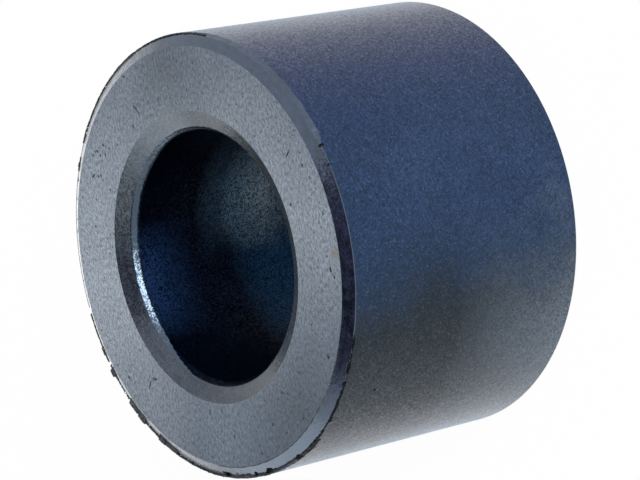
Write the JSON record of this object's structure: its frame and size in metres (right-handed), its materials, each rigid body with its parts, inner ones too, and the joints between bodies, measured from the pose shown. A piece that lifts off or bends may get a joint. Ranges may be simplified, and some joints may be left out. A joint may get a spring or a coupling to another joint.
{
  "type": "ferrite toroid core",
  "caption": "Long ferrite ring core, pressed and sintered in one piece, with ground end faces, chamfered edges and a plain through bore for a cable or a winding.",
  "frame": {"origin": "centre of the lower ground end face, where the bore's axis meets the surface that the ring stands on", "axes": "+Z along the bore's axis, from the clean lower end face to the chipped upper one; +X and +Y across the ring, with the longest run of edge chips about -X"},
  "size_m": [0.0175, 0.0174, 0.0119],
  "materials": {
    "ferrite": "satin as fired on the barrel, the chamfers and the bore; fine ground and matt on the two end faces"
  },
  "bodies": {
    "root": {"core": "ferrite"}
  },
  "joints": []
}
